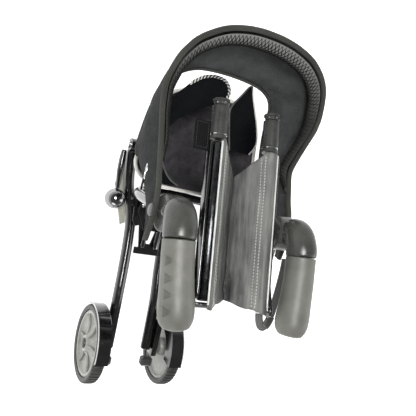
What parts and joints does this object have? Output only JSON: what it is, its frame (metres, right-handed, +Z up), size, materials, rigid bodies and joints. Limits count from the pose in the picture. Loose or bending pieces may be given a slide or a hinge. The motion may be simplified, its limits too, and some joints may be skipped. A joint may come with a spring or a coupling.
{
  "type": "pet stroller",
  "caption": "Compact pet stroller folded flat, with a mesh-edged hood, cloth cabin, folding grips, covered front legs and a wheeled rear frame.",
  "frame": {"origin": "bottom centre of the folded stroller's bounding box, on the floor it lies on", "axes": "+X across the stroller towards its right-hand wheel, +Y from the rear wheels to the top of the hood, +Z up from the floor towards the grips"},
  "size_m": [0.2282, 0.5459, 0.3695],
  "materials": {
    "gloss_black_metal": "gloss black paint",
    "grey_tube": "dark satin anodised tube",
    "bright_metal": "bright plated pins, screws and shafts",
    "grip_foam": "mid grey moulded grip",
    "dark_shell": "satin charcoal plastic",
    "black_plastic": "satin black plastic",
    "hood_cloth": "charcoal woven cloth with open mesh at the front edge",
    "binding": "dark olive grey edge binding",
    "lining": "purple grey lining cloth",
    "panel_cloth": "satin dark grey cloth with stitched seams",
    "webbing": "black webbing",
    "white_piping": "white piping",
    "tyre": "dark grey ribbed tyre",
    "wheel_plastic": "light grey moulded wheel",
    "knob_gloss": "gloss black ball",
    "pale_plastic": "pale cream panel"
  },
  "bodies": {
    "frame": {"seat_frame": "gloss_black_metal", "spine": "gloss_black_metal", "rear_shaft": "bright_metal", "rest_bar": "gloss_black_metal", "rest_pad": "black_plastic", "carry_strap": "webbing", "cabin": "lining", "cabin_piping": "white_piping", "flap_left": "webbing", "flap_right": "hood_cloth", "hub_block_left": "gloss_black_metal", "hub_block_right": "gloss_black_metal", "hub_pin_left": "bright_metal", "hub_pin_right": "bright_metal", "link_bar_left": "gloss_black_metal", "link_bar_right": "gloss_black_metal", "front_pivot_pin_left": "bright_metal", "front_pivot_pin_right": "bright_metal"},
    "hood": {"rim_bow": "binding", "inner_bow": "binding", "hood_fabric": "hood_cloth", "hood_cap_left": "dark_shell", "hood_cap_right": "dark_shell"},
    "front_legs": {"front_panel": "panel_cloth", "webbing_flap": "webbing", "front_tube_left": "grey_tube", "front_tube_right": "grey_tube", "front_sleeve_left": "black_plastic", "front_sleeve_right": "black_plastic", "front_socket_left": "black_plastic", "front_socket_right": "black_plastic"},
    "rear_legs": {"brace_bracket": "gloss_black_metal", "brace_frame": "gloss_black_metal", "lever_guard": "pale_plastic", "rear_leg_left": "gloss_black_metal", "rear_leg_right": "gloss_black_metal", "axle_bracket_left": "gloss_black_metal", "axle_bracket_right": "gloss_black_metal", "axle_left": "bright_metal", "axle_right": "bright_metal", "brace_rivet_left": "bright_metal", "brace_rivet_right": "bright_metal"},
    "lock_arm": {"lock_lever": "gloss_black_metal", "lock_knob": "knob_gloss"},
    "handle_left": {"handle_shell_left": "dark_shell", "grip_left": "grip_foam", "handle_screw_upper_left": "bright_metal", "handle_screw_lower_left": "bright_metal"},
    "wheel_left": {"tyre_left": "tyre", "wheel_hub_left": "wheel_plastic", "hub_cap_left": "black_plastic"},
    "pedal_left": {"brake_pedal_left": "black_plastic"},
    "handle_right": {"handle_shell_right": "dark_shell", "grip_right": "grip_foam", "handle_screw_upper_right": "bright_metal", "handle_screw_lower_right": "bright_metal"},
    "wheel_right": {"tyre_right": "tyre", "wheel_hub_right": "wheel_plastic", "hub_cap_right": "black_plastic"},
    "pedal_right": {"brake_pedal_right": "black_plastic"}
  },
  "joints": [
    {"name": "hood_tilt", "type": "hinge", "parent": "frame", "child": "hood", "pos_m": [0, 0.039, 0.2745], "axis": [1, 0, 0], "range_deg": [0, 8]},
    {"name": "front_legs_unfold", "type": "hinge", "parent": "frame", "child": "front_legs", "pos_m": [0, -0.0507, 0.331], "axis": [1, 0, 0], "range_deg": [0, 130]},
    {"name": "rear_legs_fold", "type": "hinge", "parent": "frame", "child": "rear_legs", "pos_m": [0, 0.105, 0.037], "axis": [-1, 0, 0], "range_deg": [0, 25]},
    {"name": "handle_fold_left", "type": "hinge", "parent": "frame", "child": "handle_left", "pos_m": [-0.0837, 0.039, 0.28], "axis": [-1, 0, 0], "range_deg": [0, 60]},
    {"name": "handle_fold_right", "type": "hinge", "parent": "frame", "child": "handle_right", "pos_m": [0.0837, 0.039, 0.28], "axis": [-1, 0, 0], "range_deg": [0, 60]},
    {"name": "wheel_spin_left", "type": "hinge", "parent": "rear_legs", "child": "wheel_left", "pos_m": [-0.0618, -0.2121, 0.061], "axis": [1, 0, 0], "continuous": true},
    {"name": "brake_pedal_press_left", "type": "hinge", "parent": "rear_legs", "child": "pedal_left", "pos_m": [-0.035, -0.23, 0.06], "axis": [1, 0, 0], "range_deg": [0, 12], "stiffness_Nm_per_rad": 0.2},
    {"name": "wheel_spin_right", "type": "hinge", "parent": "rear_legs", "child": "wheel_right", "pos_m": [0.0618, -0.2121, 0.061], "axis": [1, 0, 0], "continuous": true},
    {"name": "brake_pedal_press_right", "type": "hinge", "parent": "rear_legs", "child": "pedal_right", "pos_m": [0.035, -0.23, 0.06], "axis": [1, 0, 0], "range_deg": [0, 12], "stiffness_Nm_per_rad": 0.2},
    {"name": "fold_lock_swing", "type": "hinge", "parent": "rear_legs", "child": "lock_arm", "pos_m": [-0.069, 0.095, 0.04], "axis": [0, 0, -1], "range_deg": [0, 20], "stiffness_Nm_per_rad": 0.3}
  ]
}
